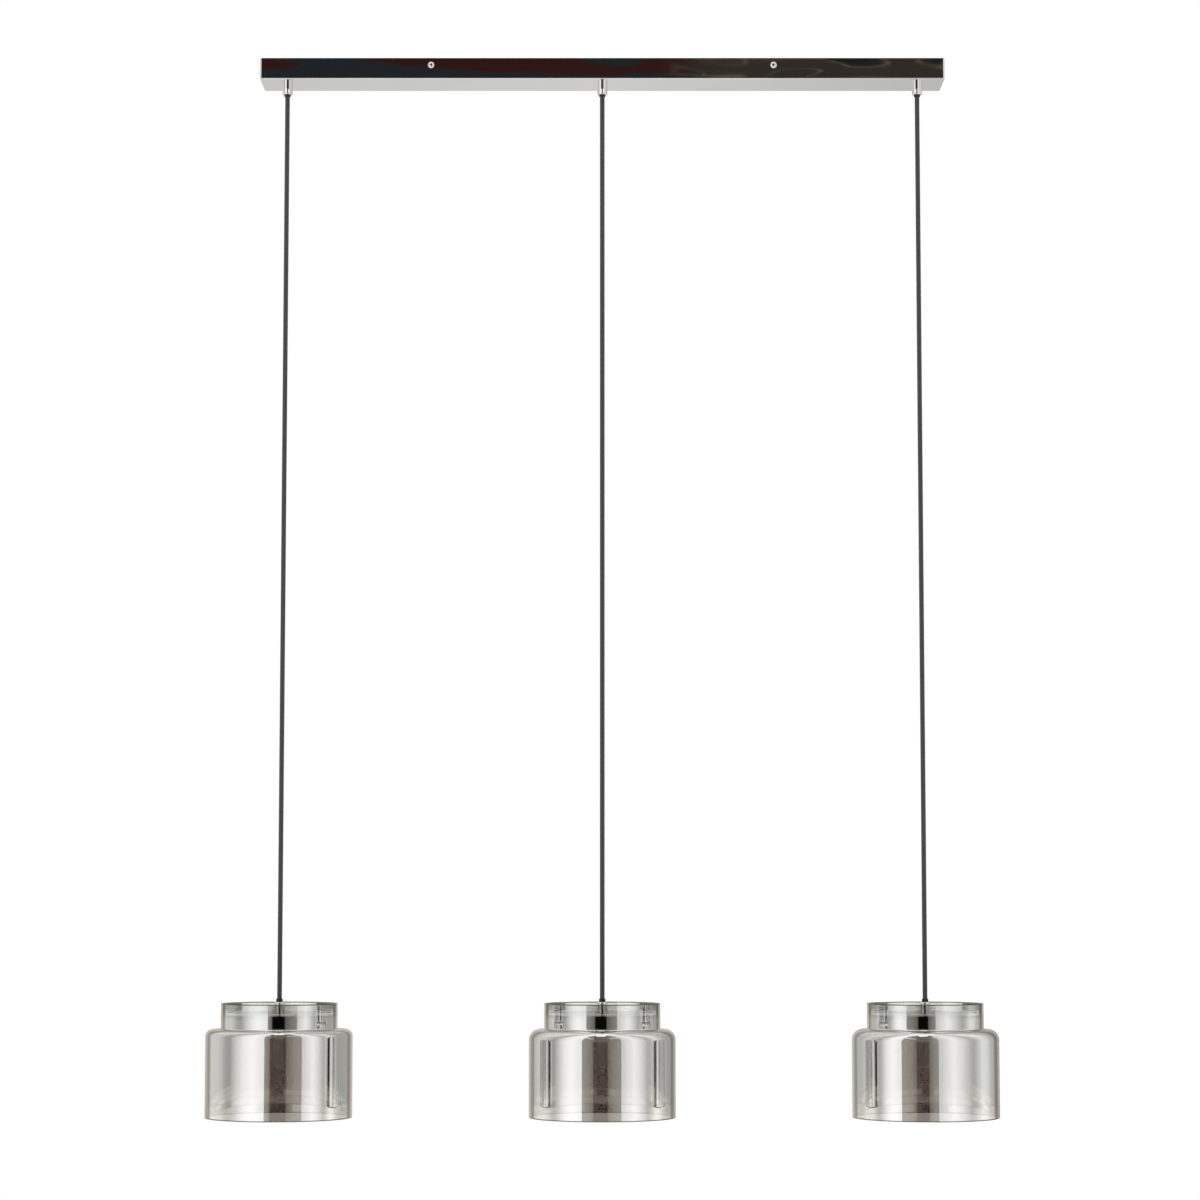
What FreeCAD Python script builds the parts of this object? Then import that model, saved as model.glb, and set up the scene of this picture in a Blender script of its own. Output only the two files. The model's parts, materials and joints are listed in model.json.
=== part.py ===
"""Linear island pendant: a polished ceiling bar from which three mirrored glass shades hang on cords.

Millimetres. +Z is up, +X runs along the bar, -Y is the front. The origin is the middle of the ceiling plane.
"""
import FreeCAD, Part
import Sketcher
import math
import os

doc = FreeCAD.newDocument("LinearPendant")
sheet = doc.addObject("Spreadsheet::Sheet", "Sizes")

# Driving dimensions, in millimetres: each is a cell of the sheet under its own alias.
SIZES = {
    # ceiling bar, a folded and polished sheet cover open towards the ceiling
    "bar_length": 800,
    "bar_depth": 56,
    "bar_height": 25,
    "sheet": 1.2,
    "bend_radius": 1.8,
    "cord_inset": 30,
    # mounting bracket inside the bar
    "bracket_length": 560,
    "bracket_sheet": 1.5,
    "cover_gap": 0.3,
    "tab_width": 18,
    "tab_drop": 16,
    "ceiling_screw_spacing": 480,
    "slot_radius": 2.5,
    "slot_length": 16,
    "supply_hole_x": 90,
    "supply_hole_radius": 8,
    # cover screws, front and back
    "cover_screw_spacing": 400,
    "cover_screw_drop": 8.3,
    "cover_screw_radius": 2,
    "cover_screw_length": 6,
    "cover_screw_head_radius": 3.8,
    "cover_screw_head_height": 2.4,
    "cover_screw_head_rim": 0.4,
    "driver_cross_reach": 1.9,
    "driver_cross_width": 0.9,
    "driver_cross_depth": 1.3,
    "screw_hole_gap": 0.2,
    "thread_gap": 0.05,
    # terminal block under the bracket
    "block_x": 80,
    "block_length": 18,
    "block_width": 28,
    "block_height": 13,
    "pole_pitch": 9,
    "clamp_radius": 2.4,
    "clamp_bore_radius": 1.5,
    "clamp_inset": 1,
    "clamp_gap": 0.05,
    "clamp_screw_pitch": 10,
    "clamp_screw_radius": 1.3,
    "block_screw_radius": 1.25,
    "block_screw_head_radius": 2.2,
    "block_screw_head_height": 1.6,
    # earth screw, its eyelet and lead
    "earth_x": 40,
    "earth_y": 18,
    "earth_screw_radius": 2,
    "earth_head_radius": 3.5,
    "earth_head_height": 2.6,
    "eyelet_radius": 4.5,
    "eyelet_thickness": 0.8,
    "eyelet_barrel_radius": 1.9,
    "eyelet_barrel_length": 6,
    "earth_lead_radius": 1.2,
    # cord grips, the same at both ends of a cord
    "grip_radius": 6,
    "grip_height": 12,
    "grip_edge": 1.6,
    "stub_radius": 5,
    "stub_spare": 1.2,
    "grip_bore_radius": 3.2,
    "collet_seat_radius": 3.9,
    "collet_seat_depth": 8,
    "collet_radius": 3.8,
    "collet_bore_radius": 2.85,
    "upper_nose": 2.2,
    "lower_nose": 3.6,
    "nut_radius": 8,
    "nut_thickness": 3,
    "washer_radius": 9,
    "washer_thickness": 0.8,
    # cords, and how the leads lie inside the bar, clear of the ceiling screws' heads
    "cord_radius": 2.75,
    "lead_row": 12,
    "lead_turn": 60,
    "lead_end": 15,
    "bend_length": 36,
    "joint_gap": 0.3,
    # shade, a blown glass bell with an open collar round its flat top
    "overall_drop": 1227.5,
    "body_radius": 84,
    "body_height": 100.5,
    "neck_radius": 66.5,
    "neck_height": 29.5,
    "glass_wall": 2.4,
    "shoulder_left": 8,
    "shoulder_centre": 12,
    "shoulder_right": 12,
    "collar_foot": 2,
    "recess_foot": 0.8,
    "glass_hole_radius": 13,
    # cap in the collar of the shade, and what it stands on
    "cap_radius": 62.8,
    "cap_height": 18,
    "cap_sheet": 1,
    "cap_corner": 3,
    "gasket_thickness": 1,
    "gasket_width": 4,
    # lampholder, its ring and the lamp
    "holder_boss_radius": 8,
    "holder_boss_height": 4.2,
    "holder_radius": 12,
    "holder_reach": 9,
    "holder_thread_depth": 5.6,
    "wire_space_radius": 6.5,
    "web_top": 3,
    "web_bottom": 3,
    "lamp_seat_radius": 7.2,
    "ring_radius": 17,
    "ring_height": 4,
    "ring_washer_radius": 18,
    "ring_washer_thickness": 1,
    "lamp_radius": 6.7,
    "lamp_length": 42,
    "lamp_pin_radius": 0.7,
    "lamp_pin_length": 5,
    "lamp_pin_spacing": 9,
    "pin_gap": 0.1,
    "tail_end": 4.5,
}
for row, (alias, size) in enumerate(SIZES.items(), start=1):
    sheet.set("A%d" % row, alias.replace("_", " "))
    sheet.set("B%d" % row, str(size))
    sheet.setAlias("B%d" % row, alias)
doc.recompute()

# Where the three pendants hang, and which shoulder size their blown shades have.
SIDES = {
    "left": ("(-Sizes.bar_length / 2 + Sizes.cord_inset)", "Sizes.shoulder_left"),
    "centre": ("0", "Sizes.shoulder_centre"),
    "right": ("(Sizes.bar_length / 2 - Sizes.cord_inset)", "Sizes.shoulder_right"),
}

# Levels and places that follow from the driving dimensions.
UNDERSIDE = "(-Sizes.bar_height)"
CANOPY_FLOOR = "(-Sizes.bar_height + Sizes.sheet)"
BRACKET_BOTTOM = "(-Sizes.bracket_sheet)"
BRACKET_HALF = "(Sizes.bar_depth / 2 - Sizes.sheet - Sizes.cover_gap)"
BLOCK_MIDDLE = "(-Sizes.bracket_sheet - Sizes.block_height / 2)"
BLOCK_BOTTOM = "(-Sizes.bracket_sheet - Sizes.block_height)"
BLOCK_LEFT_FACE = "(-Sizes.block_x - Sizes.block_length / 2)"
BLOCK_RIGHT_FACE = "(-Sizes.block_x + Sizes.block_length / 2)"
THREAD_HOLE = "(Sizes.stub_radius + Sizes.thread_gap)"
UPPER_STUB = "(Sizes.sheet + Sizes.washer_thickness + Sizes.nut_thickness + Sizes.stub_spare)"
LOWER_STUB = "(Sizes.cap_sheet + Sizes.washer_thickness + Sizes.nut_thickness + Sizes.holder_thread_depth)"
LEAD_LEVEL = "(-Sizes.bracket_sheet - Sizes.cord_radius - Sizes.cover_gap)"
EYELET_LEVEL = "(-Sizes.bracket_sheet - Sizes.eyelet_barrel_radius - Sizes.pin_gap)"
UPPER_EXIT = "(-Sizes.bar_height - Sizes.grip_height - Sizes.upper_nose)"
SWING_POINT = "(%s - Sizes.joint_gap - Sizes.cord_radius)" % UPPER_EXIT
BEND_POINT = "(%s - Sizes.bend_length)" % SWING_POINT
GLASS_TOP = "(-Sizes.overall_drop + Sizes.body_height)"
CAP_BOTTOM = "(%s + Sizes.gasket_thickness)" % GLASS_TOP
CAP_TOP = "(%s + Sizes.cap_height)" % CAP_BOTTOM
LOWER_EXIT = "(%s + Sizes.grip_height + Sizes.lower_nose)" % CAP_TOP
WASHER_TOP = "(%s - Sizes.cap_sheet)" % CAP_TOP
HOLDER_TOP = "(%s - Sizes.washer_thickness - Sizes.nut_thickness)" % WASHER_TOP


def value(expression):
    """The number that an expression over the sheet stands for."""
    return float(sheet.evalExpression(expression))


def place(piece, at, turn=(0, 0, 0)):
    """Puts a piece at a point given by expressions, turned by yaw, pitch and roll in degrees."""
    piece.Placement = FreeCAD.Placement(FreeCAD.Vector(), FreeCAD.Rotation(*turn))
    for axis, expression in zip("xyz", at):
        piece.setExpression(".Placement.Base.%s" % axis, expression)
    return piece


def labelled(kind, label):
    piece = doc.addObject(kind, label)
    piece.Label = label
    return piece


# --- Part primitives and booleans --------------------------------------------------------------

UP = (0, 0, 0)
TOWARDS_X = (0, 90, 0)
TOWARDS_BACK = (0, 0, -90)
UPSIDE_DOWN = (0, 0, 180)


def cylinder(label, radius, height, at, turn=UP):
    piece = labelled("Part::Cylinder", label)
    piece.setExpression("Radius", radius)
    piece.setExpression("Height", height)
    return place(piece, at, turn)


def box(label, length, width, height, at):
    """A block whose lowest corner is at the given point."""
    piece = labelled("Part::Box", label)
    piece.setExpression("Length", length)
    piece.setExpression("Width", width)
    piece.setExpression("Height", height)
    return place(piece, at)


def fused(label, pieces):
    piece = labelled("Part::MultiFuse", label)
    piece.Shapes = pieces
    return piece


def cut(label, base, tools):
    piece = labelled("Part::Cut", label)
    piece.Base = base
    piece.Tool = fused(label + "_tools", tools) if len(tools) > 1 else tools[0]
    return piece


def group(label, pieces):
    """Separate identical solids that share one node."""
    piece = labelled("Part::Compound", label)
    piece.Links = pieces
    return piece


def ring(label, outer, inner, thickness, at):
    """A flat ring whose lower face is at the given point."""
    disc = cylinder(label + "_disc", outer, thickness, at)
    hole = cylinder(label + "_hole", inner, thickness, at)
    return cut(label, disc, [hole])


def hex_nut(label, at):
    blank = labelled("Part::Prism", label + "_blank")
    blank.Polygon = 6
    blank.setExpression("Circumradius", "Sizes.nut_radius")
    blank.setExpression("Height", "Sizes.nut_thickness")
    place(blank, at)
    thread = cylinder(label + "_thread", THREAD_HOLE, "Sizes.nut_thickness", at)
    return cut(label, blank, [thread])


# --- PartDesign bodies -------------------------------------------------------------------------


def sketch_on(body, role, name):
    plane = next(f for f in body.Origin.OriginFeatures if f.Role == role)
    sketch = body.newObject("Sketcher::SketchObject", name)
    sketch.AttachmentSupport = (plane, [""])
    sketch.MapMode = "FlatFace"
    return sketch


def bind(sketch, kind, geometry, point, expression):
    """Ties one coordinate of a sketch point, measured from the sketch's origin, to an expression."""
    number = value(expression)
    if abs(number) < 1e-9:
        axis = -2 if kind == "DistanceX" else -1
        sketch.addConstraint(Sketcher.Constraint("PointOnObject", geometry, point, axis))
        return
    constraint = sketch.addConstraint(Sketcher.Constraint(kind, -1, 1, geometry, point, number))
    sketch.setExpression("Constraints[%d]" % constraint, expression)


def outline(sketch, points):
    """A closed outline through points given by expressions.

    A point is (x, y), reached by a straight line, or (x, y, radius, centre_x, centre_y), reached by an arc
    of at most a quarter turn.
    """
    spots = [FreeCAD.Vector(value(p[0]), value(p[1]), 0) for p in points]
    ends = []
    for i, point in enumerate(points):
        start, end = spots[i - 1], spots[i]
        if len(point) == 2:
            geometry = sketch.addGeometry(Part.LineSegment(start, end), False)
            ends.append((geometry, 1, 2))
            continue
        centre = FreeCAD.Vector(value(point[3]), value(point[4]), 0)
        circle = Part.Circle(centre, FreeCAD.Vector(0, 0, 1), value(point[2]))
        turning_left = (start - centre).cross(end - centre).z > 0
        first, last = (start, end) if turning_left else (end, start)
        arc = Part.ArcOfCircle(circle, circle.parameter(first), circle.parameter(last))
        geometry = sketch.addGeometry(arc, False)
        ends.append((geometry, 1, 2) if turning_left else (geometry, 2, 1))
        radius = sketch.addConstraint(Sketcher.Constraint("Radius", geometry, value(point[2])))
        sketch.setExpression("Constraints[%d]" % radius, point[2])
    for i, point in enumerate(points):
        here, _, tip = ends[i]
        following, tail, _ = ends[(i + 1) % len(points)]
        sketch.addConstraint(Sketcher.Constraint("Coincident", here, tip, following, tail))
        bind(sketch, "DistanceX", here, tip, point[0])
        bind(sketch, "DistanceY", here, tip, point[1])


def circles(sketch, centres, radius):
    for x, y in centres:
        centre = FreeCAD.Vector(value(x), value(y), 0)
        circle = Part.Circle(centre, FreeCAD.Vector(0, 0, 1), value(radius))
        geometry = sketch.addGeometry(circle, False)
        bind(sketch, "DistanceX", geometry, 3, x)
        bind(sketch, "DistanceY", geometry, 3, y)
        size = sketch.addConstraint(Sketcher.Constraint("Radius", geometry, value(radius)))
        sketch.setExpression("Constraints[%d]" % size, radius)


def turned(label, points, at, turn=UP):
    """A body turned about its own Z axis: the outline's points are (radius, height)."""
    body = labelled("PartDesign::Body", label)
    sketch = sketch_on(body, "XZ_Plane", label + "_outline")
    outline(sketch, points)
    spin = body.newObject("PartDesign::Revolution", label + "_turned")
    spin.Profile = sketch
    spin.ReferenceAxis = (sketch, ["V_Axis"])
    spin.Angle = 360
    return place(body, at, turn)


def pocket(body, sketch, name, through_both=False):
    """Cuts a sketch through the whole body, and makes sure that it removed something."""
    doc.recompute()
    before = body.Shape.Volume
    hole = body.newObject("PartDesign::Pocket", name)
    hole.Profile = sketch
    hole.Type = 1
    hole.Midplane = through_both
    doc.recompute()
    if before - body.Shape.Volume < 1e-3:
        hole.Reversed = True
        doc.recompute()
    if before - body.Shape.Volume < 1e-3:
        raise RuntimeError("%s cuts nothing" % name)
    return hole


# --- Leads held inside the bar -----------------------------------------------------------------


def rounded_path(points):
    """Straight runs joined by tangent arcs, each as large as its two runs allow."""
    edges = []
    start = points[0]
    radii = []
    for before, corner, after in zip(points, points[1:], points[2:]):
        back = (before - corner).normalize()
        ahead = (after - corner).normalize()
        half_turn = (math.pi - back.getAngle(ahead)) / 2
        reach = 0.45 * min(before.distanceToPoint(corner), after.distanceToPoint(corner))
        radius = reach / math.tan(half_turn)
        enter = corner + back * reach
        leave = corner + ahead * reach
        middle = (back + ahead).normalize() * (radius / math.cos(half_turn) - radius)
        edges.append(Part.LineSegment(start, enter).toShape())
        edges.append(Part.Arc(enter, corner + middle, leave).toShape())
        radii.append(radius)
        start = leave
    edges.append(Part.LineSegment(start, points[-1]).toShape())
    return Part.Wire(edges), radii


def tube(label, radius, points):
    """A lead along a route of points given by expressions."""
    route = [FreeCAD.Vector(*[value(c) for c in point]) for point in points]
    path, radii = rounded_path(route)
    section = Part.Wire(Part.makeCircle(value(radius), route[0], route[1] - route[0]))
    piece = labelled("Part::Feature", label)
    piece.Shape = path.makePipeShell([section], True, False)
    share = piece.Shape.Volume / (math.pi * value(radius) ** 2 * path.Length)
    print("%s: %.1f mm long, bends of %s mm, volume share %.4f" % (
        label, path.Length, [round(r, 1) for r in radii], share))
    if abs(share - 1) > 0.01:
        raise RuntimeError("%s is not a sound tube" % label)
    return piece


# --- Ceiling bar -------------------------------------------------------------------------------


def canopy_cover():
    """The folded cover: a tray open upwards, with its corners and long edges rounded off."""
    body = labelled("PartDesign::Body", "canopy_cover")
    half_length = "Sizes.bar_length / 2"
    half_depth = "Sizes.bar_depth / 2"
    blank = sketch_on(body, "XY_Plane", "cover_blank")
    outline(blank, [
        ("-" + half_length, "-" + half_depth),
        (half_length, "-" + half_depth),
        (half_length, half_depth),
        ("-" + half_length, half_depth),
    ])
    pad = body.newObject("PartDesign::Pad", "cover_pad")
    pad.Profile = blank
    pad.setExpression("Length", "Sizes.bar_height")
    pad.Reversed = True
    doc.recompute()
    folds = []
    for number, edge in enumerate(pad.Shape.Edges, start=1):
        if edge.BoundBox.ZMin < value(UNDERSIDE) + 1e-6:
            folds.append("Edge%d" % number)
    bends = body.newObject("PartDesign::Fillet", "cover_bends")
    bends.Base = (pad, folds)
    bends.setExpression("Radius", "Sizes.bend_radius")
    doc.recompute()
    inside = sketch_on(body, "XY_Plane", "cover_inside")
    inner_length = "(Sizes.bar_length / 2 - Sizes.sheet)"
    inner_depth = "(Sizes.bar_depth / 2 - Sizes.sheet)"
    outline(inside, [
        ("-" + inner_length, "-" + inner_depth),
        (inner_length, "-" + inner_depth),
        (inner_length, inner_depth),
        ("-" + inner_length, inner_depth),
    ])
    hollow = body.newObject("PartDesign::Pocket", "cover_hollow")
    hollow.Profile = inside
    hollow.setExpression("Length", "Sizes.bar_height - Sizes.sheet")
    doc.recompute()
    grip_holes = sketch_on(body, "XY_Plane", "grip_holes")
    circles(grip_holes, [(x, "0") for x, _ in SIDES.values()], THREAD_HOLE)
    pocket(body, grip_holes, "grip_hole_pocket")
    screw_holes = sketch_on(body, "XZ_Plane", "screw_holes")
    circles(
        screw_holes,
        [(side + "Sizes.cover_screw_spacing / 2", "-Sizes.cover_screw_drop") for side in ("-", "")],
        "Sizes.cover_screw_radius + Sizes.screw_hole_gap",
    )
    pocket(body, screw_holes, "screw_hole_pocket", through_both=True)
    return body


def mounting_bracket():
    """The strip that is screwed to the ceiling, with four turned-down tabs that hold the cover."""
    plate = box(
        "bracket_plate",
        "Sizes.bracket_length",
        "2 * " + BRACKET_HALF,
        "Sizes.bracket_sheet",
        ("-Sizes.bracket_length / 2", "-" + BRACKET_HALF, BRACKET_BOTTOM),
    )
    solids = [plate]
    holes = []
    for end, sign in (("left", "-"), ("right", "")):
        middle = sign + "Sizes.cover_screw_spacing / 2"
        for face, low in (("front", "-" + BRACKET_HALF), ("back", BRACKET_HALF + " - Sizes.bracket_sheet")):
            solids.append(box(
                "tab_%s_%s" % (end, face),
                "Sizes.tab_width",
                "Sizes.bracket_sheet",
                "Sizes.tab_drop",
                (middle + " - Sizes.tab_width / 2", low, "-Sizes.tab_drop"),
            ))
        holes.append(cylinder(
            "tab_threads_" + end,
            "Sizes.cover_screw_radius + Sizes.thread_gap",
            "Sizes.bar_depth",
            (middle, "-Sizes.bar_depth / 2", "-Sizes.cover_screw_drop"),
            TOWARDS_BACK,
        ))
        slot_middle = sign + "Sizes.ceiling_screw_spacing / 2"
        straight = "(Sizes.slot_length / 2 - Sizes.slot_radius)"
        holes.append(box(
            "slot_middle_" + end,
            "2 * " + straight,
            "2 * Sizes.slot_radius",
            "Sizes.bracket_sheet",
            (slot_middle + " - " + straight, "-Sizes.slot_radius", BRACKET_BOTTOM),
        ))
        for name, step in (("inner", " - "), ("outer", " + ")):
            holes.append(cylinder(
                "slot_%s_%s" % (name, end),
                "Sizes.slot_radius",
                "Sizes.bracket_sheet",
                (slot_middle + step + straight, "0", BRACKET_BOTTOM),
            ))
    holes.append(cylinder(
        "supply_hole",
        "Sizes.supply_hole_radius",
        "Sizes.bracket_sheet",
        ("Sizes.supply_hole_x", "0", BRACKET_BOTTOM),
    ))
    holes.append(cylinder(
        "earth_thread",
        "Sizes.earth_screw_radius + Sizes.thread_gap",
        "Sizes.bracket_sheet",
        ("Sizes.earth_x", "Sizes.earth_y", BRACKET_BOTTOM),
    ))
    for name, sign in (("front", "-"), ("back", "")):
        holes.append(cylinder(
            "block_thread_" + name,
            "Sizes.block_screw_radius + Sizes.thread_gap",
            "Sizes.bracket_sheet",
            ("-Sizes.block_x", sign + "Sizes.pole_pitch / 2", BRACKET_BOTTOM),
        ))
    return cut("mounting_bracket", fused("bracket_blank", solids), holes)


def cover_screws():
    """Four domed machine screws with a cross recess, two in the front face and two in the back."""
    dome = "(Sizes.cover_screw_head_height - Sizes.cover_screw_head_rim)"
    dome_radius = "((Sizes.cover_screw_head_radius ^ 2 + %s ^ 2) / (2 * %s))" % (dome, dome)
    dome_centre = "(%s - Sizes.cover_screw_head_height)" % dome_radius
    recess_end = "(-Sizes.cover_screw_head_height + Sizes.driver_cross_depth)"
    half = "Sizes.driver_cross_width / 2"
    screws = []
    for face, turn, sign in (("front", TOWARDS_BACK, "-"), ("back", (0, 0, 90), "")):
        for end, side in (("left", "-"), ("right", "")):
            name = "cover_screw_%s_%s" % (face, end)
            body = labelled("PartDesign::Body", name)
            sketch = sketch_on(body, "XZ_Plane", name + "_outline")
            outline(sketch, [
                ("0", "-Sizes.cover_screw_head_height"),
                ("Sizes.cover_screw_head_radius", "-Sizes.cover_screw_head_rim",
                 dome_radius, "0", dome_centre),
                ("Sizes.cover_screw_head_radius", "0"),
                ("Sizes.cover_screw_radius", "0"),
                ("Sizes.cover_screw_radius", "Sizes.cover_screw_length"),
                ("0", "Sizes.cover_screw_length"),
            ])
            spin = body.newObject("PartDesign::Revolution", name + "_turned")
            spin.Profile = sketch
            spin.ReferenceAxis = (sketch, ["V_Axis"])
            spin.Angle = 360
            for number, plane in enumerate(("XZ_Plane", "YZ_Plane"), start=1):
                bar = sketch_on(body, plane, "%s_recess_%d" % (name, number))
                outline(bar, [
                    ("-" + half, "-2 * Sizes.cover_screw_head_height"),
                    (half, "-2 * Sizes.cover_screw_head_height"),
                    (half, recess_end),
                    ("-" + half, recess_end),
                ])
                hollow = body.newObject("PartDesign::Pocket", "%s_recess_pocket_%d" % (name, number))
                hollow.Profile = bar
                hollow.Midplane = True
                hollow.setExpression("Length", "2 * Sizes.driver_cross_reach")
            across = side + "Sizes.cover_screw_spacing / 2"
            place(body, (across, sign + "Sizes.bar_depth / 2", "-Sizes.cover_screw_drop"), turn)
            screws.append(body)
    return group("cover_screws", screws)


def poles():
    """The three poles of the terminal block: a name and the pole's place across the bar."""
    return (("front", "-Sizes.pole_pitch"), ("middle", "0"), ("back", "Sizes.pole_pitch"))


def clamp_screw_places():
    for name, y in poles():
        for end, sign in (("left", "-"), ("right", "+")):
            x = "-Sizes.block_x %s Sizes.clamp_screw_pitch / 2" % sign
            yield "%s_%s" % (name, end), (x, y, BLOCK_BOTTOM)


def block_screw_places():
    for name, sign in (("front", "-"), ("back", "")):
        yield name, ("-Sizes.block_x", sign + "Sizes.pole_pitch / 2", BLOCK_BOTTOM)


def terminal_block():
    """The insulating block, with a bore along each pole, screw wells from below and two fixing holes."""
    blank = box(
        "block_blank",
        "Sizes.block_length",
        "Sizes.block_width",
        "Sizes.block_height",
        (BLOCK_LEFT_FACE, "-Sizes.block_width / 2", BLOCK_BOTTOM),
    )
    tools = []
    for name, y in poles():
        tools.append(cylinder(
            "pole_bore_" + name,
            "Sizes.clamp_radius + Sizes.clamp_gap",
            "Sizes.block_length",
            (BLOCK_LEFT_FACE, y, BLOCK_MIDDLE),
            TOWARDS_X,
        ))
    for name, at in clamp_screw_places():
        tools.append(cylinder(
            "well_" + name, "Sizes.clamp_screw_radius + Sizes.clamp_gap", "Sizes.block_height / 2", at))
    for name, at in block_screw_places():
        tools.append(cylinder(
            "fixing_" + name, "Sizes.block_screw_radius + Sizes.clamp_gap", "Sizes.block_height", at))
    return cut("terminal_block", blank, tools)


def terminal_clamps():
    """Three brass tubes that take the wires."""
    clamps = []
    for name, y in poles():
        length = "Sizes.block_length - 2 * Sizes.clamp_inset"
        at = (BLOCK_LEFT_FACE + " + Sizes.clamp_inset", y, BLOCK_MIDDLE)
        bar = cylinder("clamp_bar_" + name, "Sizes.clamp_radius", length, at, TOWARDS_X)
        tools = [cylinder("clamp_bore_" + name, "Sizes.clamp_bore_radius", length, at, TOWARDS_X)]
        for end, sign in (("left", "-"), ("right", "+")):
            tools.append(cylinder(
                "clamp_thread_%s_%s" % (name, end),
                "Sizes.clamp_screw_radius + Sizes.clamp_gap",
                "Sizes.block_height / 2",
                ("-Sizes.block_x %s Sizes.clamp_screw_pitch / 2" % sign, y, BLOCK_BOTTOM),
            ))
        clamps.append(cut("clamp_" + name, bar, tools))
    return group("terminal_clamps", clamps)


def terminal_screws():
    """Six headless clamp screws, from the underside of the block up to the clamps' bores."""
    length = "Sizes.block_height / 2 - Sizes.clamp_bore_radius"
    return group("terminal_screws", [
        cylinder("clamp_screw_" + name, "Sizes.clamp_screw_radius", length, at)
        for name, at in clamp_screw_places()
    ])


def block_screws():
    """Two screws that hold the block against the bracket."""
    screws = []
    for name, (x, y, z) in block_screw_places():
        shank = cylinder(
            "block_shank_" + name,
            "Sizes.block_screw_radius",
            "Sizes.block_height + Sizes.bracket_sheet",
            (x, y, z),
        )
        head = cylinder(
            "block_head_" + name,
            "Sizes.block_screw_head_radius",
            "Sizes.block_screw_head_height",
            (x, y, z + " - Sizes.block_screw_head_height"),
        )
        screws.append(fused("block_screw_" + name, [shank, head]))
    return group("block_screws", screws)


def earth_screw():
    """The earthing screw under the bracket, with the eyelet that it holds."""
    x, y = "Sizes.earth_x", "Sizes.earth_y"
    eyelet_bottom = "%s - Sizes.eyelet_thickness" % BRACKET_BOTTOM
    head_bottom = "%s - Sizes.earth_head_height" % eyelet_bottom
    barrel_end = x + " - Sizes.eyelet_radius + Sizes.cover_gap - Sizes.eyelet_barrel_length"
    washer = cylinder("eyelet_washer", "Sizes.eyelet_radius", "Sizes.eyelet_thickness", (x, y, eyelet_bottom))
    barrel = cylinder(
        "eyelet_barrel",
        "Sizes.eyelet_barrel_radius",
        "Sizes.eyelet_barrel_length",
        (barrel_end, y, EYELET_LEVEL),
        TOWARDS_X,
    )
    screw_hole = cylinder(
        "eyelet_hole",
        "Sizes.earth_screw_radius + Sizes.thread_gap",
        "Sizes.eyelet_thickness",
        (x, y, eyelet_bottom),
    )
    lead_hole = cylinder(
        "eyelet_bore",
        "Sizes.earth_lead_radius + Sizes.thread_gap",
        "Sizes.eyelet_barrel_length",
        (barrel_end, y, EYELET_LEVEL),
        TOWARDS_X,
    )
    eyelet = cut("earth_eyelet", fused("eyelet_blank", [washer, barrel]), [screw_hole, lead_hole])
    head = cylinder("earth_head", "Sizes.earth_head_radius", "Sizes.earth_head_height", (x, y, head_bottom))
    shank = cylinder(
        "earth_shank",
        "Sizes.earth_screw_radius",
        "Sizes.earth_head_height + Sizes.eyelet_thickness + Sizes.bracket_sheet",
        (x, y, head_bottom),
    )
    return group("earth_screw", [eyelet, fused("earth_screw_turned", [head, shank])])


def earth_lead():
    """The thin earth wire from the eyelet into the back pole of the block."""
    start = "Sizes.earth_x - Sizes.eyelet_radius - Sizes.eyelet_barrel_length / 2"
    return tube("earth_lead", "Sizes.earth_lead_radius", [
        (start, "Sizes.earth_y", EYELET_LEVEL),
        (start + " - Sizes.lead_end", "Sizes.earth_y", EYELET_LEVEL),
        (BLOCK_RIGHT_FACE + " + Sizes.lead_end", "Sizes.pole_pitch", BLOCK_MIDDLE),
        ("-Sizes.block_x", "Sizes.pole_pitch", BLOCK_MIDDLE),
    ])


# --- Cord grips --------------------------------------------------------------------------------


def grip(label, at, turn, stub):
    """A polished cord grip: a threaded stub through the sheet, and a round body with a collet seat.

    The seat face is at height 0, the stub stands above it and the body hangs below it.
    """
    end = "(-Sizes.grip_height)"
    seat = "(-Sizes.grip_height + Sizes.collet_seat_depth)"
    return turned(label, [
        ("Sizes.stub_radius", stub),
        ("Sizes.grip_bore_radius", stub),
        ("Sizes.grip_bore_radius", seat),
        ("Sizes.collet_seat_radius", seat),
        ("Sizes.collet_seat_radius", end),
        ("Sizes.grip_radius - Sizes.grip_edge", end),
        ("Sizes.grip_radius", end + " + Sizes.grip_edge", "Sizes.grip_edge",
         "Sizes.grip_radius - Sizes.grip_edge", end + " + Sizes.grip_edge"),
        ("Sizes.grip_radius", "0"),
        ("Sizes.stub_radius", "0"),
    ], at, turn)


def collet(label, at, turn, nose):
    """The black clamping sleeve in a grip, whose rounded nose stands out round the cord."""
    tip = "(-Sizes.grip_height - %s)" % nose
    seat = "(-Sizes.grip_height + Sizes.collet_seat_depth)"
    wall = "(Sizes.collet_radius - Sizes.collet_bore_radius)"
    shoulder = "(%s + %s)" % (tip, wall)
    return turned(label, [
        ("Sizes.collet_bore_radius", seat),
        ("Sizes.collet_bore_radius", tip),
        ("Sizes.collet_radius", shoulder, wall, "Sizes.collet_bore_radius", shoulder),
        ("Sizes.collet_radius", seat),
    ], at, turn)


def grip_fasteners():
    """The washers and lock nuts inside the bar, one pair on each grip's stub."""
    washers = []
    nuts = []
    for side, (x, _) in SIDES.items():
        washers.append(ring(
            "grip_washer_" + side,
            "Sizes.washer_radius",
            THREAD_HOLE,
            "Sizes.washer_thickness",
            (x, "0", CANOPY_FLOOR),
        ))
        nuts.append(hex_nut("grip_nut_" + side, (x, "0", CANOPY_FLOOR + " + Sizes.washer_thickness")))
    return group("grip_washers", washers), group("grip_nuts", nuts)


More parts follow.
